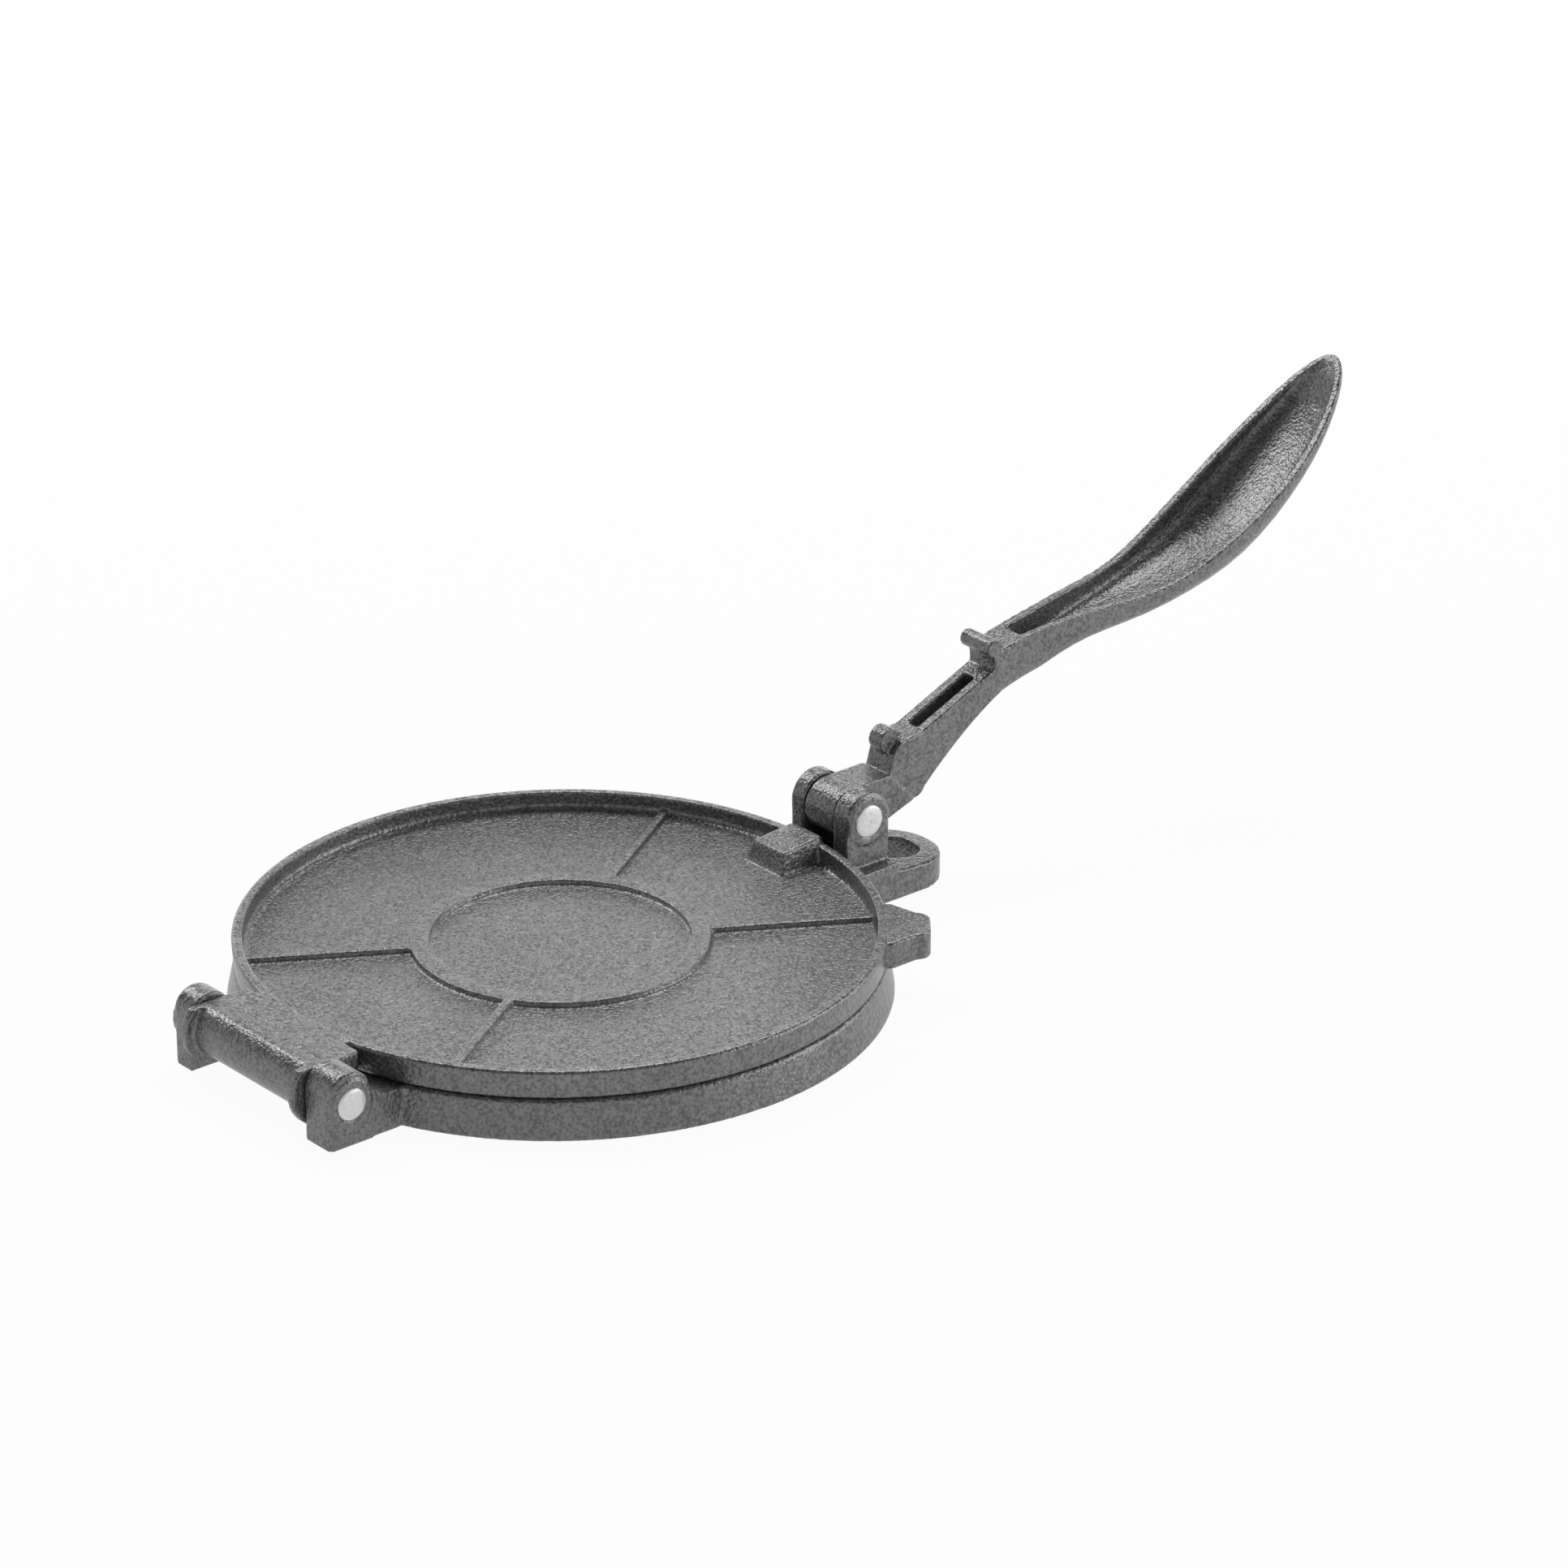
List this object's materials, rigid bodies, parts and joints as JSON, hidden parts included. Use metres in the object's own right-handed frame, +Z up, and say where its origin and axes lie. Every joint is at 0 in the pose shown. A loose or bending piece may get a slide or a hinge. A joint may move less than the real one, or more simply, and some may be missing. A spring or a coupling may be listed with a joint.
{
  "type": "tortilla press",
  "caption": "Cast iron tortilla press: round ribbed base, hinged top plate with pressing boss, and a hollow hand lever that folds over it.",
  "frame": {"origin": "centre of the base disc, on the flat foot that stands on the table", "axes": "+Z up from the table, +X from the plate's hinge to the lever, +Y along both pins, away from the viewer of the picture"},
  "size_m": [0.4708, 0.2142, 0.1338],
  "materials": {
    "casting": "grey cast iron with a fine hammered, semi-gloss surface",
    "pin_steel": "bright steel, peened ends"
  },
  "bodies": {
    "base_body": {"base": "casting", "hinge_pin": "pin_steel", "lever_pin": "pin_steel"},
    "plate_body": {"top_plate": "casting"},
    "lever_body": {"lever": "casting"}
  },
  "joints": [
    {"name": "plate_hinge", "type": "hinge", "parent": "base_body", "child": "plate_body", "pos_m": [-0.117, 0, 0.0146], "axis": [0, -1, 0], "range_deg": [0, 180]},
    {"name": "lever_hinge", "type": "hinge", "parent": "base_body", "child": "lever_body", "pos_m": [0.1172, 0, 0.0295], "axis": [0, -1, 0], "range_deg": [0, 137]}
  ]
}
